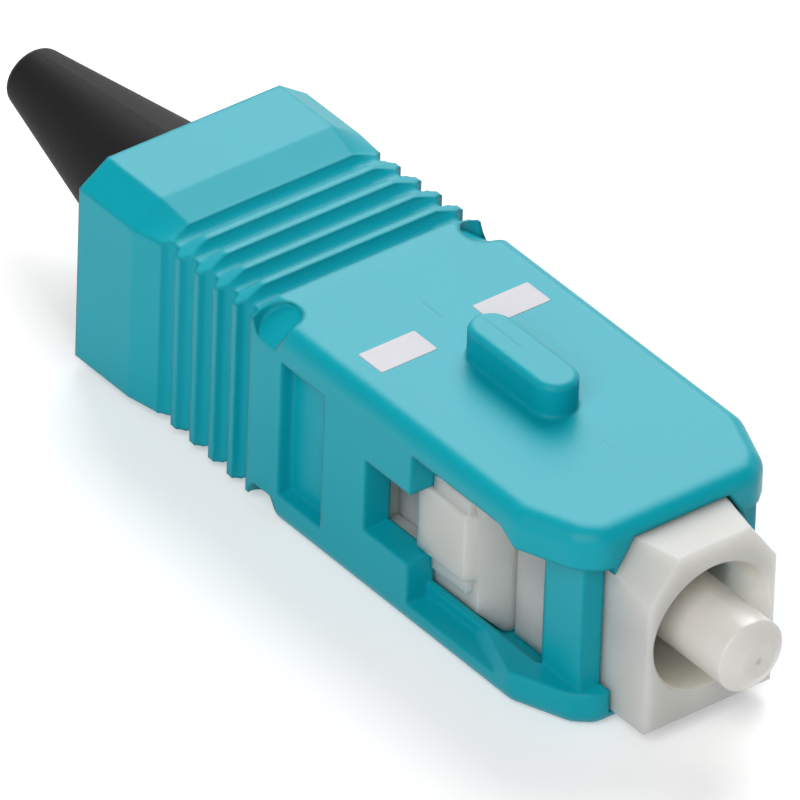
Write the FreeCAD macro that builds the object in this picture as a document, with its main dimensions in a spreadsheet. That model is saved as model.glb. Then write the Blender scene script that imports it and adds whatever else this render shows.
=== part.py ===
"""SC fibre connector: a push-pull plug with a pre-polished ferrule and a cam-closed splice.

Millimetres. X runs along the fibre, towards the mating end, and is 0 on the front face of the
plug frame. Y is across the 9 mm width and Z is up, towards the key. The fibre axis is the X axis.
"""
import FreeCAD, Part
import Sketcher
import math
import os

doc = FreeCAD.newDocument("sc_fibre_connector")

# ---------------------------------------------------------------- driving dimensions
SIZES = {
    # push-pull housing, outside
    "half_width": 4.5, "half_height": 3.7, "housing_rear": 26.4, "lip_setback": 1.7,
    "long_edge_radius": 0.6, "corner_radius": 0.9,
    "corner_start": 4.3, "corner_mid": 2.3, "corner_inset": 0.8, "front_inset": 1.5,
    # grip: flared end, sloped band, corner facets and ribs
    "rear_flat": 2.75, "rear_slope": 1.2, "rear_rise": 0.2, "side_waist": 0.18, "top_waist": 0.12,
    "grip_front": 16.9, "facet_width": 1.1, "rear_facet_drop": 0.75, "under_facet_drop": 0.42,
    "waist_facet_drop": 0.35, "lobe_place": 16.75, "lobe_radius": 0.8, "lobe_inset": 0.58, "lobe_depth": 0.5,
    "groove_rear": 22.0, "groove_pitch": 1.01, "groove_count": 5, "groove_radius": 0.36,
    "groove_depth": 0.3,
    # key rib and side panels
    "key_rear": 12.0, "key_length": 4.67, "key_width": 1.54, "key_height": 1.15, "key_edge": 0.2,
    "panel_rear": 15.95, "panel_front": 13.8, "panel_half": 2.52, "panel_depth": 0.5,
    # latch windows in the sides
    "side_wall": 1.04, "slot_rear": 11.65, "slot_half": 1.32, "window_rear": 9.4,
    "window_half": 2.35, "pocket_half": 2.83, "pocket_depth": 0.8,
    "ramp_run": 2.1, "ramp_front": 5.0, "ramp_lean": 0.8,
    "bar_rear": 4.1, "bar_setback": 0.5, "bar_wall": 0.8,
    # cavity
    "top_wall": 0.5, "cavity_corner": 0.45, "slide_gap": 0.08,
    # plug frame
    "nose_half_width": 2.5, "nose_facet_y": 0.72, "nose_facet_z": 1.15, "tip_facet_y": 1.1,
    "tip_facet_z": 1.5, "tip_taper": 1.7, "nose_round": 0.15, "nose_length": 6.5,
    "foot_groove": 0.2, "foot_groove_depth": 0.3, "frame_ramp": 0.6, "corner_gap": 0.25,
    "frame_rear": 20.6, "ear_rear": 9.9, "ear_crest": 7.58, "ear_half": 1.22, "ear_rise": 0.38,
    "shoulder_half": 1.75, "shoulder_rise": 0.24, "stop_gap": 0.05,
    "notch_rear": 12.1, "notch_half": 1.7, "notch_depth": 0.65,
    "mouth_radius": 2.25, "mouth_chamfer": 0.1, "seat_front": 6.4, "seat_rear": 7.4,
    "frame_wall": 0.5, "rib_half": 0.2, "rib_depth": 0.5, "rib_length": 1.55,
    # ferrule, fibre and splice
    "ferrule_radius": 1.25, "ferrule_tip": 2.25, "ferrule_rear": 8.25, "tip_flat": 0.6,
    "tip_chamfer": 0.4, "shank_taper": 0.04, "fibre_radius": 0.0625, "fibre_gap": 0.0025,
    "fit_gap": 0.02, "collar_radius": 1.75, "collar_front": 4.7, "collar_gap": 0.1,
    "flange_gap": 0.2, "flange_length": 1.58, "barrel_radius": 1.5, "barrel_bore": 0.9,
    "barrel_front": 8.8, "barrel_rear": 19.4, "fibre_hole": 0.3,
    "keel_front": 15.0, "keel_length": 2.9, "keel_half": 0.3, "keel_rise": 0.22,
    "plank_front": 8.9, "plank_rear": 19.0, "plank_side_gap": 0.05, "plank_gap": 0.03,
    "stub_rear": 13.4, "float_travel": 1.5,
    # spring, retainer and cam
    "wire_radius": 0.2, "coil_turns": 4, "retainer_front": 13.6,
    "retainer_length": 0.7, "snap_depth": 0.12, "run_gap": 0.06, "end_gap": 0.1,
    "cam_rear": 19.95, "cam_rise": 0.2, "cam_lobe_radius": 1.5, "recess_rear": 19.55,
    "bead_front": 17.6, "bead_length": 0.6, "hex_length": 2.45, "hex_flats": 4.2,
    # crimp tube, lead-in tube and boot
    "lead_gap": 0.1, "lead_bore": 0.3, "lead_rear": 24.1, "lead_cone": 0.35,
    "crimp_wall": 0.22, "crimp_rear": 24.5, "boot_bend": 24.7, "boot_tilt": 5.3,
    "boot_length": 10.23, "boot_tip_radius": 1.03, "boot_base_radius": 2.76,
    "boot_radius": 2.84, "boot_lead": 0.4, "boot_bore": 0.55, "boot_round": 0.35,
}

sheet = doc.addObject("Spreadsheet::Sheet", "Sizes")
for row, (word, number) in enumerate(SIZES.items(), start=1):
    sheet.set(f"A{row}", word)
    sheet.set(f"B{row}", str(number))
    sheet.setAlias(f"B{row}", word)
doc.recompute()


class Size:
    """A length or angle that knows its number now and the expression that keeps it up to date."""

    def __init__(self, number, text):
        self.number, self.text = number, text

    def __add__(self, other):
        other = size(other)
        return Size(self.number + other.number, f"({self.text} + {other.text})")

    def __sub__(self, other):
        other = size(other)
        return Size(self.number - other.number, f"({self.text} - {other.text})")

    def __mul__(self, factor):
        factor = size(factor)
        return Size(self.number * factor.number, f"({self.text} * {factor.text})")

    def __truediv__(self, factor):
        factor = size(factor)
        return Size(self.number / factor.number, f"({self.text} / {factor.text})")

    def __neg__(self):
        return self * -1

    __radd__ = __add__
    __rmul__ = __mul__


def size(thing):
    """Turn a sheet word, a plain number or a Size into a Size."""
    if isinstance(thing, Size):
        return thing
    if isinstance(thing, str):
        return Size(float(SIZES[thing]), f"Sizes.{thing}")
    return Size(float(thing), f"({float(thing)})")


def at(word):
    """Place on the X axis that lies the named distance behind the front face."""
    return -size(word)


# ---------------------------------------------------------------- drawing helpers
def new_body(label):
    body = doc.addObject("PartDesign::Body", label)
    body.Label = label
    return body


def new_sketch(body, name, plane, lift=0, turn=None):
    """Sketch on an origin plane of its own body, lifted along the plane's normal."""
    sketch = body.newObject("Sketcher::SketchObject", name)
    support = [part for part in body.Origin.OriginFeatures if part.Role == plane + "_Plane"][0]
    sketch.AttachmentSupport = (support, "")
    sketch.MapMode = "FlatFace"
    if turn is not None:
        axis, angle = turn
        sketch.AttachmentOffset = FreeCAD.Placement(
            FreeCAD.Vector(0, 0, 0), FreeCAD.Rotation(FreeCAD.Vector(axis, 0, 0), angle.number))
        sketch.setExpression("AttachmentOffset.Rotation.Angle", angle.text)
    bind(sketch, "AttachmentOffset.Base.z", lift)
    return sketch


def bind(thing, prop, value):
    """Tie a property to the sheet."""
    value = size(value)
    thing.setExpression(prop, value.text)


def hold(sketch, kind, *where_and_value):
    """Add one dimension to a sketch and tie it to the sheet."""
    *where, value = where_and_value
    value = size(value)
    number = sketch.addConstraint(Sketcher.Constraint(kind, *where, value.number))
    sketch.setExpression(f"Constraints[{number}]", value.text)


def pin_point(sketch, geometry, end, x, y):
    """Fix one point of a sketch by its distances from the origin."""
    hold(sketch, "DistanceX", -1, 1, geometry, end, x)
    hold(sketch, "DistanceY", -1, 1, geometry, end, y)


def draw_outline(sketch, points):
    """Closed outline of straight lines through the points."""
    points = [(size(x), size(y)) for x, y in points]
    spots = [FreeCAD.Vector(x.number, y.number, 0) for x, y in points]
    first = sketch.GeometryCount
    count = len(points)
    for index in range(count):
        sketch.addGeometry(Part.LineSegment(spots[index], spots[(index + 1) % count]), False)
    for index in range(count):
        following = first + (index + 1) % count
        sketch.addConstraint(Sketcher.Constraint("Coincident", first + index, 2, following, 1))
    for index, (x, y) in enumerate(points):
        pin_point(sketch, first + index, 1, x, y)


def draw_circle(sketch, x, y, radius):
    x, y, radius = size(x), size(y), size(radius)
    centre = FreeCAD.Vector(x.number, y.number, 0)
    circle = Part.Circle(centre, FreeCAD.Vector(0, 0, 1), radius.number)
    number = sketch.addGeometry(circle, False)
    pin_point(sketch, number, 3, x, y)
    hold(sketch, "Radius", number, radius)


def draw_stadium(sketch, x_low, x_high, y, radius):
    """Slot outline along X whose round ends are centred at x_low and x_high."""
    x_low, x_high, y, radius = size(x_low), size(x_high), size(y), size(radius)
    up = FreeCAD.Vector(0, 0, 1)
    low = FreeCAD.Vector(x_low.number, y.number, 0)
    high = FreeCAD.Vector(x_high.number, y.number, 0)
    out = FreeCAD.Vector(0, radius.number, 0)
    quarter = math.pi / 2
    first = sketch.GeometryCount
    sketch.addGeometry(Part.ArcOfCircle(Part.Circle(low, up, radius.number), quarter, 3 * quarter), False)
    sketch.addGeometry(Part.LineSegment(low - out, high - out), False)
    sketch.addGeometry(Part.ArcOfCircle(Part.Circle(high, up, radius.number), -quarter, quarter), False)
    sketch.addGeometry(Part.LineSegment(high + out, low + out), False)
    for index in range(4):
        following = first + (index + 1) % 4
        sketch.addConstraint(Sketcher.Constraint("Tangent", first + index, 2, following, 1))
    pin_point(sketch, first, 3, x_low, y)
    pin_point(sketch, first + 2, 3, x_high, y)
    hold(sketch, "Radius", first, radius)


def pad(body, sketch, length, both_ways=False, backwards=False):
    feature = body.newObject("PartDesign::Pad", sketch.Name + "_pad")
    feature.Profile = sketch
    bind(feature, "Length", length)
    feature.Midplane = both_ways
    feature.Reversed = backwards
    body.Tip = feature
    return feature


def pocket(body, sketch, length, both_ways=False, backwards=False):
    """Cut the sketch out of the body. The cut goes against the sketch's normal."""
    feature = body.newObject("PartDesign::Pocket", sketch.Name + "_pocket")
    feature.Profile = sketch
    bind(feature, "Length", length)
    feature.Midplane = both_ways
    feature.Reversed = backwards
    body.Tip = feature
    return feature


def turned(body, sketch, kind="PartDesign::Revolution"):
    """Turn the sketch's outline about the fibre axis."""
    feature = body.newObject(kind, sketch.Name + "_turned")
    feature.Profile = sketch
    feature.ReferenceAxis = (sketch, ["H_Axis"])
    feature.Angle = 360
    body.Tip = feature
    return feature


def lathe(body, name, points):
    """Solid of revolution from (place along X, radius) points."""
    sketch = new_sketch(body, name, "XZ")
    draw_outline(sketch, points)
    return turned(body, sketch)


def edges_where(feature, test):
    """Names of the edges whose middle point and end points pass the test."""
    doc.recompute()
    names = []
    for number, edge in enumerate(feature.Shape.Edges, start=1):
        middle = edge.valueAt((edge.FirstParameter + edge.LastParameter) / 2)
        if test(edge, middle):
            names.append(f"Edge{number}")
    return names


def round_edges(body, feature, radius, test, kind="PartDesign::Fillet"):
    names = edges_where(feature, test)
    rounding = body.newObject(kind, f"{body.Name}_{kind[12:]}_{len(body.Group)}")
    rounding.Base = (feature, names)
    bind(rounding, "Radius" if kind.endswith("Fillet") else "Size", radius)
    body.Tip = rounding
    return rounding


# ---------------------------------------------------------------- push-pull housing
def grip_stations():
    """Places along the grip where its faces bend: X, half width, top height and bottom depth."""
    side, top = size("half_width"), size("half_height")
    rear = at("housing_rear")
    flat_end = rear + "rear_flat"
    return [
        (rear, side, top + "rear_rise", top),
        (flat_end, side, top + "rear_rise", top),
        (flat_end + "rear_slope", side - "side_waist", top - "top_waist", top - "top_waist"),
        (at("grip_front"), side, top, top),
    ]


def housing_block(body):
    """Front block with all its edges rounded, and the plain grip block behind it."""
    side, top = size("half_width"), size("half_height")
    half = [(at("lobe_place"), side), (at("corner_start"), side),
            (at("corner_mid"), side - "corner_inset"), (at("lip_setback"), side - "front_inset")]
    sketch = new_sketch(body, "front_plan", "XY")
    draw_outline(sketch, half + [(x, -y) for x, y in reversed(half)])
    block = pad(body, sketch, top * 2, both_ways=True)
    rear, flat = -SIZES["lobe_place"] + 0.01, top.number

    def upright_corner(edge, middle):
        return middle.x > rear and abs(edge.tangentAt(edge.FirstParameter).z) > 0.9

    def outline_edge(edge, middle):
        return middle.x > rear and abs(abs(middle.z) - flat) < 1e-4

    block = round_edges(body, block, "corner_radius", upright_corner)
    round_edges(body, block, "long_edge_radius", outline_edge)

    stations = grip_stations()
    half = [(x, y) for x, y, _, _ in stations] + [(at("lobe_place"), side)]
    sketch = new_sketch(body, "grip_plan", "XY")
    draw_outline(sketch, half + [(x, -y) for x, y in reversed(half)])
    above = top + "rear_rise" + 1
    pad(body, sketch, above * 2, both_ways=True)
    sketch = new_sketch(body, "grip_side_outline", "XZ")
    ends = [(at("lobe_place"), top), (at("lobe_place"), above + 1), (stations[0][0] - 1, above + 1)]
    for sign, heights in ((1, [z for _, _, z, _ in stations]), (-1, [z for _, _, _, z in stations])):
        profile = [(stations[0][0] - 1, heights[0])]
        profile += [(station[0], z) for station, z in zip(stations, heights)] + ends
        draw_outline(sketch, [(x, z * sign) for x, z in profile])
    pocket(body, sketch, side * 4, both_ways=True)


def housing_facets(body):
    """Wide facet along each corner of the grip, ending in a round sunk lobe."""
    side, top = size("half_width"), size("half_height")
    lean = math.degrees(math.atan2(SIZES["rear_facet_drop"], SIZES["facet_width"]))
    lean_text = "atan2(Sizes.rear_facet_drop; Sizes.facet_width)"
    turns = {1: Size(lean, lean_text), -1: Size(180 - lean, f"180 deg - {lean_text}")}
    for side_sign in (1, -1):
        for top_sign in (1, -1):
            mark = f"{side_sign}_{top_sign}".replace("-", "m")
            rear_drop = "rear_facet_drop" if top_sign > 0 else "under_facet_drop"
            drops = [rear_drop, rear_drop, "waist_facet_drop", "waist_facet_drop"]
            sections = []
            for (x, wide, *heights), drop in zip(grip_stations(), drops):
                tall = heights[0] if top_sign > 0 else heights[1]
                sketch = new_sketch(body, f"facet_{mark}_{len(sections)}", "YZ", lift=x)
                outline = [(wide - "facet_width", tall), (wide, tall - drop), (side + 1, tall - drop),
                           (side + 1, tall + 1), (wide - "facet_width", tall + 1)]
                draw_outline(sketch, [(y * side_sign, z * top_sign) for y, z in outline])
                sections.append(sketch)
            loft = body.newObject("PartDesign::SubtractiveLoft", f"facet_{mark}")
            loft.Profile = sections[0]
            loft.Sections = sections[1:]
            loft.Ruled = True
            body.Tip = loft
            turn = (-top_sign, turns[side_sign])
            sketch = new_sketch(body, f"lobe_{mark}", "XY", (top - "lobe_depth") * top_sign, turn)
            bind(sketch, "AttachmentOffset.Base.y", (side - "lobe_inset") * side_sign)
            draw_circle(sketch, at("lobe_place"), 0, "lobe_radius")
            pocket(body, sketch, 1, backwards=side_sign == top_sign)


def housing_grooves(body):
    """Row of half-round finger grooves across the top and bottom and down both sides."""
    reaches = (("XZ", size("half_height") - "top_waist", "half_width"),
               ("XY", size("half_width") - "side_waist", "half_height"))
    for plane, reach, length in reaches:
        sketch = new_sketch(body, f"grooves_{plane}", plane)
        centre = reach - "groove_depth" + "groove_radius"
        for sign in (1, -1):
            draw_circle(sketch, at("groove_rear"), centre * sign, "groove_radius")
        cut = pocket(body, sketch, size(length) * 4, both_ways=True)
        row = body.newObject("PartDesign::LinearPattern", f"groove_row_{plane}")
        row.Originals = [cut]
        row.Direction = (sketch, ["H_Axis"])
        bind(row, "Length", size("groove_pitch") * (size("groove_count") - 1))
        bind(row, "Occurrences", "groove_count")
        body.Tip = row


def housing_panels(body):
    """Shallow blind panel in each side, ahead of the grip."""
    sketch = new_sketch(body, "side_panels", "XY")
    for sign in (1, -1):
        inner = (size("half_width") - "panel_depth") * sign
        outer = (size("half_width") + 1) * sign
        draw_outline(sketch, [(at("panel_rear"), inner), (at("panel_front"), inner),
                              (at("panel_front"), outer), (at("panel_rear"), outer)])
    pocket(body, sketch, size("panel_half") * 2, both_ways=True)


def housing_windows(body):
    """Latch windows: slot and opening through the wall, and the stepped pocket with its cam ramps."""
    sketch = new_sketch(body, "latch_opening", "XZ")
    slot, half = size("slot_half"), size("window_half")
    rear, wide, front = at("slot_rear"), at("window_rear"), at("bar_rear")
    draw_outline(sketch, [(rear, -slot), (wide, -slot), (wide, -half), (front, -half),
                          (front, half), (wide, half), (wide, slot), (rear, slot)])
    pocket(body, sketch, size("half_width") * 4, both_ways=True)

    half, pocket_half = size("window_half") - 0.05, size("pocket_half")
    for sign in (1, -1):
        sections = []
        for name, depth, back in (("mouth", -0.2, -0.2), ("floor", 1, 1)):
            inset = size("pocket_depth") * depth
            slide = size("ramp_run") * back
            sketch = new_sketch(body, f"latch_pocket_{name}_{sign}".replace("-", "m"), "XZ",
                                lift=(size("half_width") - inset) * sign)
            corner = at("ramp_front") - slide
            tip = corner + "ramp_lean"
            draw_outline(sketch, [(wide, -pocket_half), (corner, -pocket_half), (tip, -half),
                                  (tip, half), (corner, pocket_half), (wide, pocket_half)])
            sections.append(sketch)
        loft = body.newObject("PartDesign::SubtractiveLoft", f"latch_pocket_{sign}".replace("-", "m"))
        loft.Profile = sections[0]
        loft.Sections = [sections[1]]
        loft.Ruled = True
        body.Tip = loft

    sketch = new_sketch(body, "bar_recess", "XY")
    inner = size("nose_half_width") + "slide_gap"
    for sign in (1, -1):
        draw_outline(sketch, [(front, (size("half_width") + 1) * sign), (front, (inner + "bar_wall") * sign),
                              (at("lip_setback") - "bar_setback", (inner + "bar_wall") * sign),
                              (at("lip_setback") - "bar_setback", inner * sign),
                              (at("lip_setback") + 1, inner * sign),
                              (at("lip_setback") + 1, (size("half_width") + 1) * sign)])
    pocket(body, sketch, size("window_half") * 2, both_ways=True)


def housing_cavity(body):
    """Rear cavity for the frame's body and the front opening for its nose."""
    wide, tall = size("half_width") - "side_wall", size("half_height") - "top_wall"
    corner = size("cavity_corner")
    sketch = new_sketch(body, "cavity_section", "YZ", lift=at("bar_rear"))
    draw_outline(sketch, [(wide - corner, -tall), (wide, -tall + corner), (wide, tall - corner),
                          (wide - corner, tall), (-wide + corner, tall), (-wide, tall - corner),
                          (-wide, -tall + corner), (-wide + corner, -tall)])
    pocket(body, sketch, size("housing_rear"))
    sketch = new_sketch(body, "front_opening", "YZ")
    draw_outline(sketch, nose_outline(size("slide_gap")))
    pocket(body, sketch, size("bar_rear") + 0.5)


def housing_key(body):
    """Round-ended polarity key on the top."""
    radius = size("key_width") / 2
    sketch = new_sketch(body, "key_outline", "XY", lift=size("half_height") - 0.1)
    draw_stadium(sketch, at("key_rear") + radius, at("key_rear") + "key_length" - radius, 0, radius)
    key = pad(body, sketch, size("key_height") + 0.1)
    top = SIZES["half_height"] + SIZES["key_height"]
    return round_edges(body, key, "key_edge", lambda edge, middle: abs(middle.z - top) < 1e-4)


def outer_housing():
    body = new_body("outer_housing")
    housing_block(body)
    housing_facets(body)
    housing_grooves(body)
    housing_panels(body)
    housing_windows(body)
    housing_cavity(body)
    housing_key(body)
    return body


# ---------------------------------------------------------------- plug frame
def frame_half_height():
    """Half height of the frame, which slides in the housing's cavity."""
    return size("half_height") - "top_wall" - "slide_gap"


def nose_outline(grow, facet_y="nose_facet_y", facet_z="nose_facet_z"):
    """Section of the nose with its two upper facets, grown outwards by a gap."""
    wide, tall = size("nose_half_width") + grow, frame_half_height() + grow
    facet_y, facet_z = size(facet_y), size(facet_z)
    return [(-wide, -tall), (wide, -tall), (wide, tall - facet_z), (wide - facet_y, tall),
            (-wide + facet_y, tall), (-wide, tall - facet_z)]


def frame_nose(body):
    """Keyed nose whose upper facets widen towards the front, and the narrow neck behind it."""
    stations = [("front", 0, "tip_facet_y", "tip_facet_z"),
                ("lip", -size("tip_taper"), "nose_facet_y", "nose_facet_z"),
                ("rear", at("nose_length"), "nose_facet_y", "nose_facet_z")]
    sections = []
    for name, x, facet_y, facet_z in stations:
        sketch = new_sketch(body, f"nose_{name}", "YZ", lift=x)
        draw_outline(sketch, nose_outline(0, facet_y, facet_z))
        sections.append(sketch)
    loft = body.newObject("PartDesign::AdditiveLoft", "nose")
    loft.Profile = sections[0]
    loft.Sections = sections[1:]
    loft.Ruled = True
    body.Tip = loft
    round_edges(body, loft, "nose_round", lambda edge, middle: abs(middle.x) < 1e-4)
    sketch = new_sketch(body, "neck_section", "YZ", lift=at("nose_length") + 0.1)
    draw_outline(sketch, nose_outline(-size("foot_groove_depth")))
    pad(body, sketch, size("foot_groove") + 0.2, backwards=True)


def frame_body(body):
    """Chamfered body behind the nose, with ramps for the latch hooks and the notches they drop in."""
    gap, wide = size("slide_gap"), size("nose_half_width")
    front = at("nose_length") - "foot_groove"
    side = size("half_width") - "side_wall" - gap
    top = frame_half_height()
    corner = size("cavity_corner") + "corner_gap"
    sketch = new_sketch(body, "body_section", "YZ", lift=front)
    draw_outline(sketch, [(side - corner, -top), (side, -top + corner), (side, top - corner),
                          (side - corner, top), (-side + corner, top), (-side, top - corner),
                          (-side, -top + corner), (-side + corner, -top)])
    pad(body, sketch, front + "frame_rear", backwards=True)
    sketch = new_sketch(body, "body_ramps", "XY")
    for sign in (1, -1):
        draw_outline(sketch, [(front - "frame_ramp", side * sign), (front, wide * sign),
                              (front + 0.1, wide * sign), (front + 0.1, (side + 1) * sign),
                              (front - "frame_ramp", (side + 1) * sign)])
    pocket(body, sketch, top * 4, both_ways=True)

    sketch = new_sketch(body, "hook_notches", "XY")
    floor = side - "notch_depth"
    for sign in (1, -1):
        draw_outline(sketch, [(at("notch_rear"), floor * sign), (at("ear_rear"), floor * sign),
                              (at("ear_rear"), (side + 1) * sign), (at("notch_rear"), (side + 1) * sign)])
    pocket(body, sketch, size("notch_half") * 2, both_ways=True)


def frame_ears(body):
    """Ear on each side that spreads the adapter's hooks, and the shoulders that stop the housing."""
    wide = size("nose_half_width")
    front = at("nose_length") - "foot_groove"
    side = size("half_width") - "side_wall" - "slide_gap"
    floor = side - "notch_depth"
    sketch = new_sketch(body, "latch_ears", "XY")
    for sign in (1, -1):
        draw_outline(sketch, [(at("ear_rear"), floor * sign), (at("ear_rear"), (side + "ear_rise") * sign),
                              (at("ear_crest"), (side + "ear_rise") * sign), (front, wide * sign),
                              (front, (wide - 0.1) * sign)])
    pad(body, sketch, size("ear_half") * 2, both_ways=True)
    sketch = new_sketch(body, "stop_shoulders", "XY")
    rear = at("window_rear") + "stop_gap"
    for sign in (1, -1):
        draw_outline(sketch, [(rear, floor * sign), (rear, (side + "shoulder_rise") * sign),
                              (at("ear_crest"), (side + "shoulder_rise") * sign),
                              (at("ear_crest"), floor * sign)])
    pad(body, sketch, size("shoulder_half") * 2, both_ways=True)


def frame_bore():
    """Radius of the frame's rear bore, set by the wall left under its top."""
    return frame_half_height() - "frame_wall"


def frame_bores(body):
    """Mouth, seat for the holder's flange, rear bore with its snap grooves, and two key ribs."""
    bore, mouth = frame_bore(), size("mouth_radius")
    hole = size("collar_radius") + "collar_gap"
    snap = bore + "snap_depth"
    ring_rear = at("retainer_front") - "retainer_length" - "fit_gap"
    ring_front = at("retainer_front") + "fit_gap"
    bead_front = at("bead_front") + "run_gap"
    bead_rear = at("bead_front") - "bead_length" - "run_gap"
    sketch = new_sketch(body, "bore", "XZ")
    draw_outline(sketch, [(0, 0), (0, mouth + "mouth_chamfer"), (-size("mouth_chamfer"), mouth),
                          (at("seat_front"), mouth), (at("seat_front"), hole), (at("seat_rear"), hole),
                          (at("seat_rear"), bore), (ring_front, bore), (ring_front, snap),
                          (ring_rear, snap), (ring_rear, bore), (bead_front, bore), (bead_front, snap),
                          (bead_rear, snap), (bead_rear, bore), (at("frame_rear"), bore),
                          (at("frame_rear"), 0)])
    turned(body, sketch, "PartDesign::Groove")

    sketch = new_sketch(body, "key_ribs", "YZ", lift=at("seat_rear") + 0.1)
    half = size("rib_half")
    for sign in (1, -1):
        draw_outline(sketch, [(-half, (bore - "rib_depth") * sign), (half, (bore - "rib_depth") * sign),
                              (half, (bore + 0.1) * sign), (-half, (bore + 0.1) * sign)])
    pad(body, sketch, size("rib_length") + 0.1, backwards=True)


def plug_frame():
    body = new_body("plug_frame")
    frame_nose(body)
    frame_body(body)
    frame_ears(body)
    frame_bores(body)
    return body


# ---------------------------------------------------------------- ferrule, fibre and splice
def ferrule():
    """Ceramic ferrule with its polished, bevelled tip and a shank tapered to wedge in the holder."""
    body = new_body("ferrule")
    bore = size("fibre_radius") + "fibre_gap"
    radius, tip = size("ferrule_radius"), size("ferrule_tip")
    lathe(body, "ferrule_profile", [
        (at("ferrule_rear"), bore), (at("ferrule_rear"), radius - "shank_taper"),
        (at("collar_front"), radius), (tip - "tip_chamfer", radius),
        (tip, "tip_flat"), (tip, bore)])
    return body


def fibre_stub():
    """Factory-fitted fibre from the polished tip to the middle of the splice."""
    body = new_body("fibre_stub")
    sketch = new_sketch(body, "fibre_section", "YZ", lift="ferrule_tip")
    draw_circle(sketch, 0, 0, "fibre_radius")
    pad(body, sketch, size("ferrule_tip") + "stub_rear", backwards=True)
    return body


def ferrule_holder():
    """Collar, keyed flange and the long barrel that holds the splice."""
    body = new_body("ferrule_holder")
    seat, bore = size("ferrule_radius"), size("barrel_bore")
    flange_front = at("seat_rear") - "fit_gap"
    flange_rear = flange_front - "flange_length"
    flange = frame_bore() - "flange_gap"
    lathe(body, "holder_profile", [
        (at("collar_front"), seat), (at("collar_front"), "collar_radius"),
        (flange_front, "collar_radius"), (flange_front, flange), (flange_rear, flange),
        (flange_rear, "barrel_radius"), (at("barrel_rear"), "barrel_radius"),
        (at("barrel_rear"), bore), (at("barrel_front"), bore), (at("barrel_front"), "fibre_hole"),
        (at("ferrule_rear"), "fibre_hole"), (at("ferrule_rear"), seat - "shank_taper")])
    floor = frame_bore() - "rib_depth" - "run_gap"
    half = size("rib_half") + "run_gap"
    sketch = new_sketch(body, "flange_slots", "YZ", lift=flange_front + 0.1)
    for sign in (1, -1):
        draw_outline(sketch, [(-half, floor * sign), (half, floor * sign),
                              (half, (flange + 1) * sign), (-half, (flange + 1) * sign)])
    pocket(body, sketch, size("flange_length") + 0.2)
    half = size("keel_half") + "run_gap"
    front = at("keel_front") + "end_gap"
    rear = at("keel_front") - "keel_length" - "end_gap"
    sketch = new_sketch(body, "keel_window", "XY")
    draw_outline(sketch, [(front, -half), (front, half), (rear, half), (rear, -half)])
    pocket(body, sketch, size("barrel_radius") * 2, backwards=True)
    return body


def keel_top():
    """Height of the keel above the fibre axis, proud of the holder's barrel."""
    return size("barrel_radius") + "keel_rise"


def splice_plank(label, sign):
    """Half-round plank; the pair grips the two fibre ends between their flats."""
    body = new_body(label)
    radius = size("barrel_bore") - "plank_side_gap"
    length = size("plank_rear") - "plank_front"
    sketch = new_sketch(body, label + "_round", "YZ", lift=at("plank_front"))
    draw_circle(sketch, 0, 0, radius)
    pad(body, sketch, length, backwards=True)
    flat = size("plank_gap") / 2
    sketch = new_sketch(body, label + "_flat", "YZ", lift=at("plank_front"))
    draw_outline(sketch, [(-radius * 2, flat * sign), (radius * 2, flat * sign),
                          (radius * 2, radius * -2 * sign), (-radius * 2, radius * -2 * sign)])
    pocket(body, sketch, length)
    sketch = new_sketch(body, label + "_groove", "YZ", lift=at("plank_front"))
    draw_circle(sketch, 0, 0, size("fibre_radius") + "fibre_gap")
    pocket(body, sketch, length)
    return body


def splice_plank_upper():
    body = splice_plank("splice_plank_upper", 1)
    half = size("keel_half")
    front, rear = at("keel_front"), at("keel_front") - "keel_length"
    foot = size("barrel_bore") / 2
    sketch = new_sketch(body, "keel", "XY", lift=foot)
    draw_outline(sketch, [(front, -half), (front, half), (rear, half), (rear, -half)])
    pad(body, sketch, keel_top() - foot)
    return body


def splice_plank_lower():
    return splice_plank("splice_plank_lower", -1)


# ---------------------------------------------------------------- spring, retainer and cam
def coil_spring():
    """Spring that pushes the ferrule holder forwards."""
    body = new_body("coil_spring")
    clear = size("wire_radius") + "fit_gap"
    front = at("seat_rear") - "fit_gap" - "flange_length" - clear
    rear = at("retainer_front") + clear
    middle = (frame_bore() + "barrel_radius") / 2
    sketch = new_sketch(body, "wire_section", "XZ")
    draw_circle(sketch, rear, middle, "wire_radius")
    helix = body.newObject("PartDesign::AdditiveHelix", "coils")
    helix.Profile = sketch
    helix.ReferenceAxis = (sketch, ["H_Axis"])
    helix.Mode = "height-turns-angle"
    bind(helix, "Height", front - rear)
    bind(helix, "Turns", "coil_turns")
    body.Tip = helix
    return body


def spring_retainer():
    """Ring snapped into the frame's bore behind the spring."""
    body = new_body("spring_retainer")
    front, rear = at("retainer_front"), at("retainer_front") - "retainer_length"
    inner = size("barrel_radius") + "end_gap"
    outer = frame_bore() + "snap_depth" - "fit_gap"
    lathe(body, "retainer_profile", [(front, inner), (front, outer), (rear, outer), (rear, inner)])
    return body


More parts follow.
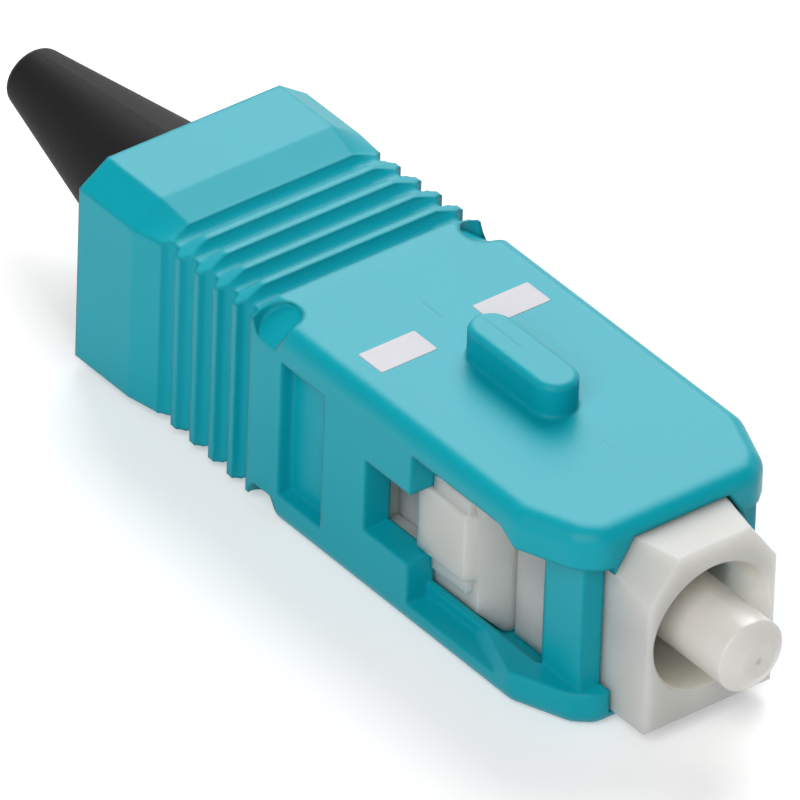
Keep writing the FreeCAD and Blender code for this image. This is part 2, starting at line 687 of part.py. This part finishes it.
def cam_sleeve():
    """Sleeve that closes the splice when its hexagon is turned."""
    body = new_body("cam_sleeve")
    outer = frame_bore() - "run_gap"
    bead = outer + "snap_depth"
    front = at("retainer_front") - "retainer_length" - "end_gap"
    bead_front = at("bead_front")
    bead_rear = bead_front - "bead_length"
    lathe(body, "cam_outside", [(front, 0), (front, outer), (bead_front, outer), (bead_front, bead),
                                (bead_rear, bead), (bead_rear, outer), (at("cam_rear"), outer),
                                (at("cam_rear"), 0)])
    reach = size("hex_flats") / 2
    point = Size(reach.number * 2 / math.sqrt(3), f"({reach.text} * 2 / sqrt(3))")
    sketch = new_sketch(body, "hexagon", "YZ", lift=at("cam_rear") + 0.1)
    draw_outline(sketch, [(-point, 0), (point / -2, -reach), (point / 2, -reach), (point, 0),
                          (point / 2, reach), (point / -2, reach)])
    pad(body, sketch, size("hex_length") + 0.1, backwards=True)

    barrel = size("barrel_radius") + "run_gap"
    tube = crimp_radius() + "fit_gap"
    seat = crimp_front()
    hex_rear = at("cam_rear") - "hex_length"
    sketch = new_sketch(body, "cam_bore", "XZ")
    draw_outline(sketch, [(front, 0), (front, barrel), (seat, barrel), (seat, tube),
                          (hex_rear, tube), (hex_rear, 0)])
    turned(body, sketch, "PartDesign::Groove")
    depth = front + "recess_rear"
    sketch = new_sketch(body, "keel_recess", "YZ", lift=front)
    draw_circle(sketch, 0, 0, keel_top() + "end_gap")
    pocket(body, sketch, depth)
    sketch = new_sketch(body, "cam_lobe", "YZ", lift=front)
    lobe = size("cam_lobe_radius")
    draw_circle(sketch, 0, keel_top() + "end_gap" + "cam_rise" - lobe, lobe)
    pocket(body, sketch, depth)
    return body


# ---------------------------------------------------------------- rear tubes and boot
def crimp_front():
    """Seat of the crimp tube in the cam, behind the holder's rearmost place."""
    return at("barrel_rear") - "float_travel" - "end_gap"


def lead_radius():
    """Outside of the lead-in tube, which enters the holder's barrel when the ferrule floats back."""
    return size("barrel_bore") - "lead_gap"


def crimp_radius():
    return lead_radius() + "fit_gap" + "crimp_wall"


def lead_in_tube():
    """Guides the field fibre into the splice."""
    body = new_body("lead_in_tube")
    front = at("plank_rear") - "float_travel" - "end_gap"
    cone, bore = size("lead_cone"), size("lead_bore")
    rear, outer = at("lead_rear"), lead_radius()
    lathe(body, "lead_profile", [(front, bore), (front, outer), (rear, outer),
                                 (rear, bore + cone), (rear + cone, bore)])
    return body


def crimp_tube():
    """Thin metal tube that the cable's jacket is crimped into."""
    body = new_body("crimp_tube")
    inner, outer = lead_radius() + "fit_gap", crimp_radius()
    lathe(body, "crimp_profile", [(crimp_front(), inner), (crimp_front(), outer),
                                  (at("crimp_rear"), outer), (at("crimp_rear"), inner)])
    return body


def boot():
    """Strain relief pushed over the crimp tube; its tapered tail leans up a little from the axis."""
    body = new_body("boot")
    tube = crimp_radius() + "fit_gap"
    front = at("cam_rear") - "hex_length" - "end_gap"
    bend = at("boot_bend")
    radius, lead = size("boot_radius"), size("boot_lead")
    lathe(body, "boot_sleeve", [(front, 0), (front, radius - lead), (front - lead, radius),
                                (bend, radius), (bend - 0.5, radius - 0.5), (bend - 0.5, 0)])
    tail = new_sketch(body, "boot_tail", "XZ")
    tail.AttachmentOffset = FreeCAD.Placement(
        FreeCAD.Vector(bend.number, 0, 0),
        FreeCAD.Rotation(FreeCAD.Vector(0, 0, -1), SIZES["boot_tilt"]))
    bind(tail, "AttachmentOffset.Base.x", bend)
    bind(tail, "AttachmentOffset.Rotation.Angle", "boot_tilt")
    tip = -size("boot_length")
    draw_outline(tail, [(0, 0), (0, radius - 0.05), (at("housing_rear") - bend, "boot_base_radius"),
                        (tip, "boot_tip_radius"), (tip, 0)])
    solid = turned(body, tail)
    reach = SIZES["boot_length"] * 0.9
    edge_radius = SIZES["boot_tip_radius"] - 0.01

    def tip_edge(edge, middle):
        return middle.x < bend.number - reach and edge.Length > 6 * edge_radius

    round_edges(body, solid, "boot_round", tip_edge)
    bore = new_sketch(body, "boot_bore_section", "XZ")
    bore.AttachmentOffset = tail.AttachmentOffset
    bind(bore, "AttachmentOffset.Base.x", bend)
    bind(bore, "AttachmentOffset.Rotation.Angle", "boot_tilt")
    draw_outline(bore, [(0, 0), (0, "boot_bore"), (tip - 1, "boot_bore"), (tip - 1, 0)])
    turned(body, bore, "PartDesign::Groove")
    socket = new_sketch(body, "boot_socket", "XZ")
    draw_outline(socket, [(front + 1, 0), (front + 1, tube), (bend, tube), (bend, 0)])
    turned(body, socket, "PartDesign::Groove")
    return body


# ---------------------------------------------------------------- build, check and write
PIECES = [outer_housing(), plug_frame(), ferrule(), fibre_stub(), ferrule_holder(),
          splice_plank_upper(), splice_plank_lower(), coil_spring(), spring_retainer(),
          cam_sleeve(), lead_in_tube(), crimp_tube(), boot()]
doc.recompute()

for thing in doc.Objects:
    if "Invalid" in thing.State or "Error" in thing.State:
        raise RuntimeError(f"{thing.Name} did not compute: {thing.State}")
for piece in PIECES:
    if piece.Shape.isNull() or not piece.Shape.isValid() or len(piece.Shape.Solids) != 1:
        raise RuntimeError(f"{piece.Label} is not one valid solid")

os.makedirs("parts", exist_ok=True)
for piece in PIECES:
    piece.Shape.exportStep(f"parts/{piece.Label}.step")
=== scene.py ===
import math

import bpy
import numpy as np
from mathutils import Matrix, Vector


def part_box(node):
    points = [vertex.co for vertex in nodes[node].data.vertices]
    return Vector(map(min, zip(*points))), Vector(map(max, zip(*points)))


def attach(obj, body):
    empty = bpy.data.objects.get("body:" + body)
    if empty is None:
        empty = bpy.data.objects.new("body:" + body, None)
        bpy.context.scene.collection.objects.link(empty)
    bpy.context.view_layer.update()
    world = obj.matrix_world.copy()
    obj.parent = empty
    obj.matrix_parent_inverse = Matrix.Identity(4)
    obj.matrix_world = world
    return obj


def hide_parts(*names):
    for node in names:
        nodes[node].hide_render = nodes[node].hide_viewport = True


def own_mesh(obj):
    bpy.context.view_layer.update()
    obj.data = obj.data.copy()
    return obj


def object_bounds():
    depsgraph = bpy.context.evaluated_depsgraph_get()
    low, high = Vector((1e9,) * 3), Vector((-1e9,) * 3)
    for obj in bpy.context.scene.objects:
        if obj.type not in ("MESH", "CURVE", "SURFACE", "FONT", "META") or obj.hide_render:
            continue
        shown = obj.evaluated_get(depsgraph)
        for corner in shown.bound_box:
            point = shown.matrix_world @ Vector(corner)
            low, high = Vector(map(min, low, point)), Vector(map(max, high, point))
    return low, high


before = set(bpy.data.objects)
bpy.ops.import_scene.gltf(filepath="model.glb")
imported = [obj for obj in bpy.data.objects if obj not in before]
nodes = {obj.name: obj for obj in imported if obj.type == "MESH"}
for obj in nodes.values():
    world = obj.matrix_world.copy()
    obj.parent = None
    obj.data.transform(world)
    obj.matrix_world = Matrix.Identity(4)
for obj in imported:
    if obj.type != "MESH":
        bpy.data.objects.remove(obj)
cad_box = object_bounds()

# ---- Plug frame ---------------------------------------------------------------------------------
# The white inner frame that slides in the housing and snaps into the adapter. It is injection
# moulded in PBT, which lets some light through, in a polished mould that leaves a satin skin.
MM = 0.001


def linear(hex_colour):
    """sRGB hex text to linear RGBA: each channel is decoded by the sRGB curve."""
    channels = [int(hex_colour[i:i + 2], 16) / 255 for i in (1, 3, 5)]
    return (*[c / 12.92 if c <= 0.04045 else ((c + 0.055) / 1.055) ** 2.4 for c in channels], 1.0)


def add(tree, kind, inputs=(), **settings):
    """Add one node. Settings name its properties or its input sockets. Each item of inputs is a
    socket's name or number, with an output that feeds it or a plain value that it takes."""
    node = tree.nodes.new(kind)
    for name, value in settings.items():
        if hasattr(node, name):
            setattr(node, name, value)
        else:
            node.inputs[name.replace("_", " ")].default_value = value
    for socket, source in dict(inputs).items():
        if isinstance(source, bpy.types.NodeSocket):
            tree.links.new(source, node.inputs[socket])
        else:
            node.inputs[socket].default_value = source
    return node


def new_material(name):
    """Material with an empty node tree; returns it with its tree and its object coordinates."""
    material = bpy.data.materials.new(name)
    material.use_nodes = True
    tree = material.node_tree
    tree.nodes.clear()
    place = add(tree, "ShaderNodeTexCoord").outputs["Object"]
    return material, tree, place


def painted_bore_light(tree, place, tint, bore_light_mm, colour, blend_mm=0.04):
    """Painted light in the bore: a paler, warmer colour that stands in for the light which the
    translucent plastic lets into it. It holds nearer the axis than the radius given, where the
    distance is the length of the place's Y and Z."""
    spokes = add(tree, "ShaderNodeVectorMath", {0: place, 1: (0, 1, 1)}, operation="MULTIPLY")
    radius = add(tree, "ShaderNodeVectorMath", {0: spokes.outputs["Vector"]}, operation="LENGTH")
    inside = add(tree, "ShaderNodeMapRange", {0: radius.outputs["Value"]},
                 From_Min=(bore_light_mm - blend_mm) * MM, From_Max=(bore_light_mm + blend_mm) * MM,
                 To_Min=1, To_Max=0)
    return add(tree, "ShaderNodeMix", {0: inside.outputs[0], 6: tint, 7: linear(colour)},
               data_type="RGBA").outputs[2]


def weld_line(tree, place, tint, skin, weld_mm, colour, run_mm=3.0):
    """Broken line on the centre plane where two flows of plastic met: a fine groove, a little
    darker, that comes and goes about every run_mm. Returns the new tint and the new normal."""
    axes = add(tree, "ShaderNodeSeparateXYZ", {"Vector": place})
    off = add(tree, "ShaderNodeMath", {0: axes.outputs["Y"]}, operation="ABSOLUTE")
    line = add(tree, "ShaderNodeMapRange", {0: off.outputs[0]},
               From_Max=weld_mm / 2 * MM, To_Min=1, To_Max=0)
    runs = add(tree, "ShaderNodeTexNoise", {"W": axes.outputs["X"]}, noise_dimensions="1D",
               Scale=1 / (run_mm * MM), Detail=1)
    shown = add(tree, "ShaderNodeMapRange", {0: runs.outputs["Fac"]}, From_Min=0.5, From_Max=0.6)
    weld = add(tree, "ShaderNodeMath", {0: line.outputs[0], 1: shown.outputs[0]},
               operation="MULTIPLY").outputs[0]
    groove = add(tree, "ShaderNodeBump", {"Height": weld, "Normal": skin},
                 invert=True, Strength=0.5, Distance=0.01 * MM)
    darker = add(tree, "ShaderNodeMix", {0: weld, 6: tint, 7: linear(colour)}, data_type="RGBA")
    return darker.outputs[2], groove.outputs[0]


def moulded_plastic(name, colour, shade, grain_mm=0.12, roughness=0.38, bump=0.12, flow_mm=4.0,
                    edge_mm=0.05, soft=0.0, soft_mm=0.5, ior=1.5, gloss=0.5, weld=None, core=None):
    """Moulded skin: the colour drifts to its shade along the melt's flow, a fine grain from the
    mould breaks the gloss, and corners have a small radius. Light goes soft_mm into it where soft
    is set. Weld and core are each a size in mm and a colour: weld for weld_line, and core for a
    painted light that makes the bore paler and warmer nearer the axis than its size."""
    material, tree, place = new_material(name)
    stretch = add(tree, "ShaderNodeMapping", {"Vector": place}, Scale=(0.35, 1, 1))
    flow = add(tree, "ShaderNodeTexNoise", {"Vector": stretch.outputs[0]},
               Scale=1 / (flow_mm * MM), Detail=2, Roughness=0.5)
    tint = add(tree, "ShaderNodeMix", {0: flow.outputs["Fac"], 6: linear(colour), 7: linear(shade)},
               data_type="RGBA").outputs[2]
    grain = add(tree, "ShaderNodeTexNoise", {"Vector": place},
                Scale=1 / (grain_mm * MM), Detail=3, Roughness=0.55)
    rough = add(tree, "ShaderNodeMapRange", {0: grain.outputs["Fac"]},
                To_Min=roughness - 0.06, To_Max=roughness + 0.08)
    edge = add(tree, "ShaderNodeBevel", samples=6, Radius=edge_mm * MM)
    skin = add(tree, "ShaderNodeBump", {"Height": grain.outputs["Fac"], "Normal": edge.outputs[0]},
               Strength=bump, Distance=0.02 * MM).outputs[0]
    # Painted light: the colour in the bore is made paler and warmer.
    if core:
        tint = painted_bore_light(tree, place, tint, *core)
    if weld:
        tint, skin = weld_line(tree, place, tint, skin, *weld)
    shader = add(tree, "ShaderNodeBsdfPrincipled",
                 {"Base Color": tint, "Roughness": rough.outputs[0], "Normal": skin},
                 IOR=ior, Specular_IOR_Level=gloss)
    if soft:
        shader.inputs["Subsurface Weight"].default_value = soft
        shader.inputs["Subsurface Radius"].default_value = (1.0, 0.9, 0.8)
        shader.inputs["Subsurface Scale"].default_value = soft_mm * MM
    add(tree, "ShaderNodeOutputMaterial", {"Surface": shader.outputs[0]})
    return material


def coat(piece, material):
    """Give the whole piece one material."""
    piece.data.materials.clear()
    piece.data.materials.append(material)


# Unpigmented PBT, moulded: milky, soft in its shadows, low gloss. Its bore is painted paler and
# warmer, a painted light that stands in for light let through the plastic.
frame_plastic = moulded_plastic("natural_white_pbt", "#D0D0CC", "#CACAC5", grain_mm=0.2, bump=0.05,
                                edge_mm=0.12, soft=1.0, soft_mm=2.5, gloss=0.15,
                                core=(2.28, "#E6E4D6"))
coat(nodes["plug_frame"], frame_plastic)

# ---- Ferrule and fibre --------------------------------------------------------------------------
# The ferrule is a zirconia tube, fired and then ground to 2.5 mm across. The glass fibre is glued
# in its bore and polished flush with the tip.
# Ground ceramic: creamy white, light goes a little way in, and its gloss is clearer than plastic's.
zirconia = moulded_plastic("ground_zirconia", "#E0DDD8", "#DCD9D3", roughness=0.3, bump=0.0,
                           edge_mm=0.1, soft=0.5, soft_mm=0.8, ior=2.1, gloss=0.35)
coat(nodes["ferrule"], zirconia)
# Polished glass end, which shows nearly the colour of the ceramic round it.
silica = moulded_plastic("polished_silica_fibre", "#D2CFCA", "#CECAC4", roughness=0.25, bump=0.0)
coat(nodes["fibre_stub"], silica)

# ---- Ferrule holder and splice ------------------------------------------------------------------
# The holder is moulded round the splice: two planks that the cam presses together on the fibres.
# The stub's end and the field fibre meet between them.
# Glass-filled plastic, moulded: pale grey and rather dull, from the fibres at its skin.
holder_plastic = moulded_plastic("glass_filled_holder", "#C9CBC4", "#BFC1BA", roughness=0.5)
coat(nodes["ferrule_holder"], holder_plastic)
# Clear PEI, moulded in a polished cavity: amber and glossy.
plank_plastic = moulded_plastic("amber_pei_plank", "#D8C9A0", "#CDBB8E", roughness=0.25, bump=0.05)
coat(nodes["splice_plank_upper"], plank_plastic)
coat(nodes["splice_plank_lower"], plank_plastic)


# ---- Spring, retainer, cam and tubes ------------------------------------------------------------
# The spring is wound from cold-drawn wire and held by a ring that snaps into the frame's bore.
# Behind it are the moulded cam and lead-in tube, and a crimp tube turned in brass and plated.
def turned_metal(name, colour, shade, ring_mm=0.1184, roughness=0.3):
    """Drawn or turned metal: rings along the axis change its colour and roughness a little. The
    wave repeats every tau / 20 of its own unit, which sets the scale from the rings' spacing."""
    material, tree, place = new_material(name)
    rings = add(tree, "ShaderNodeTexWave", {"Vector": place}, bands_direction="X",
                Scale=math.tau / 20 / (ring_mm * MM), Distortion=1.5, Detail=2)
    tint = add(tree, "ShaderNodeMix",
               {0: rings.outputs["Fac"], 6: linear(colour), 7: linear(shade)}, data_type="RGBA")
    rough = add(tree, "ShaderNodeMapRange", {0: rings.outputs["Fac"]},
                To_Min=roughness - 0.05, To_Max=roughness + 0.08)
    shader = add(tree, "ShaderNodeBsdfPrincipled",
                 {"Base Color": tint.outputs[2], "Roughness": rough.outputs[0]}, Metallic=1.0)
    add(tree, "ShaderNodeOutputMaterial", {"Surface": shader.outputs[0]})
    return material


def ringed_solid(name, rings, material, body):
    """Closed solid from a grid of rings. Each ring turns anticlockwise as seen from before the
    first; the walls join ring to ring, and the first and the last ring are filled."""
    rows, columns = rings.shape[:2]
    here = np.arange(rows * columns).reshape(rows, columns)
    beside = np.roll(here, -1, axis=1)
    walls = np.stack([here[:-1], here[1:], beside[1:], beside[:-1]], axis=-1).reshape(-1, 4)
    mesh = bpy.data.meshes.new(name)
    mesh.from_pydata(rings.reshape(-1, 3).tolist(), [],
                     walls.tolist() + [here[0].tolist(), here[-1][::-1].tolist()])
    mesh.polygons.foreach_set("use_smooth", [True] * len(walls) + [False, False])
    piece = bpy.data.objects.new(name, mesh)
    bpy.context.scene.collection.objects.link(piece)
    mesh.materials.append(material)
    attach(piece, body)
    return piece


def wound_wire(start, length, coil, wire, turns, closing=0.8, steps=36, sides=14):
    """Rings of a compression spring. The wire's middle goes round the axis at the coil's radius
    while it advances by t - closing sin(tau t) / tau of the length, so that both end turns close
    up. Each ring is the wire's circle, in the plane of the radius and the radius cross the run."""
    t = np.linspace(0, 1, steps * turns + 1)[:, None]
    around = math.tau * turns * t
    still = np.zeros_like(t)
    out = np.concatenate([still, np.sin(around), np.cos(around)], axis=1)
    advance = start + length * (t - closing * np.sin(math.tau * t) / math.tau)
    middle = coil * out + np.concatenate([advance, still, still], axis=1)
    run = np.concatenate([length * (1 - closing * np.cos(math.tau * t)),
                          coil * math.tau * turns * np.cos(around),
                          -coil * math.tau * turns * np.sin(around)], axis=1)
    across = np.cross(out, run / np.linalg.norm(run, axis=1, keepdims=True))
    turn = (np.arange(sides) * math.tau / sides)[None, :, None]
    return middle[:, None] + wire * (np.cos(turn) * out[:, None] + np.sin(turn) * across[:, None])


# Cold-drawn stainless wire: grey, with faint bands from the die.
stainless = turned_metal("drawn_stainless_wire", "#C4C6C9", "#A9ACB0")
coat(nodes["coil_spring"], stainless)
spring_low, spring_high = [Vector(corner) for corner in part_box("coil_spring")]
wire_radius, spring_turns, float_travel = 0.2 * MM, 4, 1.5 * MM
spring_length = spring_high.x - spring_low.x
spring = ringed_solid("wound_spring",
                      wound_wire(spring_low.x + wire_radius, spring_length - 2 * wire_radius,
                                 spring_high.z - wire_radius, wire_radius, spring_turns),
                      stainless, "core")
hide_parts("coil_spring")
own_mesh(spring)

coat(nodes["spring_retainer"], holder_plastic)
# Black acetal, moulded: slippery, so it has an even, dull sheen.
coat(nodes["cam_sleeve"], moulded_plastic("black_acetal_cam", "#2B2B2E", "#242427"))
coat(nodes["lead_in_tube"], plank_plastic)
# Brass turned on a lathe and nickel plated: warm grey, with fine rings from the tool.
coat(nodes["crimp_tube"], turned_metal("nickel_plated_brass", "#D6CFB8", "#BDB49A"))

# ---- Boot ---------------------------------------------------------------------------------------
# The tapered strain relief behind the plug is moulded in one piece in a black elastomer. It is
# pushed over the cam's rear end and turns with it.
# Thermoplastic elastomer, moulded: nearly black and matt, with a fine, dusty grain.
boot_rubber = moulded_plastic("black_elastomer", "#161415", "#1A1819", grain_mm=0.09,
                              roughness=0.6, bump=0.35, edge_mm=0.1, gloss=0.14)
coat(nodes["boot"], boot_rubber)

# ---- Push-pull housing --------------------------------------------------------------------------
# The outer shell, with the key rib, the ribbed grip and the latch windows, is one moulding. It
# snaps over the frame's ears and slides on them, which locks and frees the plug.
# Pigmented PBT, moulded: deep aqua with a satin skin, edges that look soft, and a weld line.
housing_plastic = moulded_plastic("aqua_pbt_housing", "#05A6B6", "#039FAF", roughness=0.36,
                                  bump=0.2, edge_mm=0.22, gloss=0.2, weld=(0.12, "#0695A4"))
coat(nodes["outer_housing"], housing_plastic)


# ---- White marks --------------------------------------------------------------------------------
# Two oblongs of white ink on the housing's top, one each side of the key rib's rear end. They are
# printed with a soft pad, and show that the plug is fully seated.
def ink_film(centre, half, level, corner=0.08 * MM, film=0.012 * MM, points=32):
    """Rings of a film of ink. The outline is a rectangle with round corners: its corner centres,
    plus a circle. Each ring is the outline drawn in by an inset, from the film's top down to a
    film's depth below the level."""
    turn = (np.arange(points) + 0.5) * math.tau / points
    circle = np.stack([np.cos(turn), np.sin(turn)], axis=-1)
    corners = np.array(centre) + np.sign(circle) * (np.array(half) - corner)
    inset = np.array([0.02, 0.005, 0, 0]) * MM
    height = level + np.array([1, 0.8, 0.3, -1]) * film
    plan = corners + circle * (corner - inset)[:, None, None]
    rise = np.broadcast_to(height[:, None, None], (len(height), points, 1))
    return np.concatenate([plan, rise], axis=-1)


# Pad-printed ink: a flat white, cooler than the frame, with almost no gloss.
ink = moulded_plastic("white_pad_ink", "#CFCFD4", "#C6C6CC", grain_mm=0.2, roughness=0.5, bump=0.1,
                      flow_mm=1.0, gloss=0.3)
housing_top = 3.7 * MM
mark_x, mark_y = -13.05 * MM, 2.235 * MM
mark_half = (0.6 * MM, 1.105 * MM)
for name, side in (("white_mark_left", 1), ("white_mark_right", -1)):
    ringed_solid(name, ink_film((mark_x, side * mark_y), mark_half, housing_top),
                 ink, "housing")

# ---- Floor and room -----------------------------------------------------------------------------
# A white sheet lies under the plug and takes its shadow. The room's walls look white, in a gloss
# too, up to about 30 degrees, and its dim ceiling keeps the sloping faces deep in colour.
low, high = Vector(cad_box[0]), Vector(cad_box[1])


def plain_view(tree):
    """1 for the rays that show the set: straight, in a gloss or through something clear."""
    path = add(tree, "ShaderNodeLightPath")
    seen = add(tree, "ShaderNodeMath", {0: path.outputs["Is Camera Ray"],
                                        1: path.outputs["Is Glossy Ray"]}, operation="MAXIMUM")
    seen = add(tree, "ShaderNodeMath", {0: seen.outputs[0],
                                        1: path.outputs["Is Transmission Ray"]},
               operation="MAXIMUM")
    return seen.outputs[0]


def white_sheet(name, grey, glow):
    """Matt sheet of the grey given, which looks lighter by the glow wherever it is seen."""
    material, tree, _ = new_material(name)
    matt = add(tree, "ShaderNodeBsdfDiffuse", Color=(grey, grey, grey, 1)).outputs[0]
    light = add(tree, "ShaderNodeEmission", Color=(1, 1, 1, 1), Strength=glow)
    white = add(tree, "ShaderNodeAddShader", {0: matt, 1: light.outputs[0]})
    mix = add(tree, "ShaderNodeMixShader", {0: plain_view(tree), 1: matt, 2: white.outputs[0]})
    add(tree, "ShaderNodeOutputMaterial", {"Surface": mix.outputs[0]})
    return material


floor_reach, floor_z = 1.0, low.z - 0.01 * MM
floor_mesh = bpy.data.meshes.new("floor")
floor_mesh.from_pydata([(x * floor_reach, y * floor_reach, floor_z)
                        for x, y in ((-1, -1), (1, -1), (1, 1), (-1, 1))], [], [(0, 1, 2, 3)])
floor_mesh.materials.append(white_sheet("white_sheet", grey=0.8, glow=0.35))
floor = bpy.data.objects.new("floor", floor_mesh)
bpy.context.scene.collection.objects.link(floor)

room_light = 0.12
world = bpy.data.worlds.new("studio")
bpy.context.scene.world = world
world.use_nodes = True
room = world.node_tree
room.nodes.clear()
axes = add(room, "ShaderNodeSeparateXYZ",
           {"Vector": add(room, "ShaderNodeTexCoord").outputs["Generated"]})
walls = add(room, "ShaderNodeMapRange", {0: axes.outputs["Z"]},
            From_Min=0.4, From_Max=0.6, To_Min=1, To_Max=room_light)
lit = add(room, "ShaderNodeBackground", Color=(1, 1, 1, 1), Strength=room_light)
shown = add(room, "ShaderNodeBackground", {"Strength": walls.outputs[0]}, Color=(1, 1, 1, 1))
mix = add(room, "ShaderNodeMixShader",
          {0: plain_view(room), 1: lit.outputs[0], 2: shown.outputs[0]})
add(room, "ShaderNodeOutputWorld", {"Surface": mix.outputs[0]})


# ---- Lamps --------------------------------------------------------------------------------------
# A long softbox behind the plug shows as a pale sheen on the level top. Its length takes in the
# slopes before and behind. A square one near the camera fills the sides and the slanted faces.
def soft_lamp(name, offset, power, sides, along=(0, 0, 1)):
    """Area lamp at an offset from the plug's middle, turned towards it; its first side runs along
    the direction given."""
    lamp = bpy.data.lights.new(name, "AREA")
    lamp.shape = "RECTANGLE"
    lamp.size, lamp.size_y = sides
    lamp.energy = power
    holder = bpy.data.objects.new(name, lamp)
    bpy.context.scene.collection.objects.link(holder)
    outward = Vector(offset).normalized()
    across = outward.cross(Vector(along)).normalized()
    turn = Matrix((across.cross(outward), across, outward)).transposed().to_4x4()
    holder.matrix_world = Matrix.Translation((low + high) / 2 + Vector(offset)) @ turn


soft_lamp("back_softbox", (-0.31, 0.31, 0.42), 3.8, (0.62, 0.36), along=(0.3, 0, 0.2))
soft_lamp("front_fill", (0.28, -0.45, 0.46), 3.5, (0.55, 0.55))

# ---- Camera -------------------------------------------------------------------------------------
# It looks down on the plug from before its nose, through a long lens, and leans a little.
# It aims at the housing's middle, moved along its own right and up to set the plug in the frame.
azimuth, elevation, roll = math.radians(50.91), math.radians(35.76), math.radians(-2.08)
distance, lens_mm, sensor_mm = 0.5873, 848.3, 36
aim_x, aim_right, aim_up = -14 * MM, -1.007 * MM, 0.295 * MM
level_right = Vector((math.cos(azimuth), math.sin(azimuth), 0))
level_up = Vector((-math.sin(azimuth) * math.sin(elevation),
                   math.cos(azimuth) * math.sin(elevation), math.cos(elevation)))
back = level_right.cross(level_up)
right = level_right * math.cos(roll) - level_up * math.sin(roll)
up = level_right * math.sin(roll) + level_up * math.cos(roll)
camera_data = bpy.data.cameras.new("camera")
camera_data.sensor_width, camera_data.lens = sensor_mm, lens_mm
camera_data.clip_start, camera_data.clip_end = 0.05, 5
camera = bpy.data.objects.new("camera", camera_data)
bpy.context.scene.collection.objects.link(camera)
aim = Vector((aim_x, 0, 0)) + right * aim_right + up * aim_up
turn = Matrix((right, up, back)).transposed().to_4x4()
camera.matrix_world = Matrix.Translation(aim + back * distance) @ turn
bpy.context.scene.camera = camera
bpy.context.scene.view_settings.view_transform = "Standard"
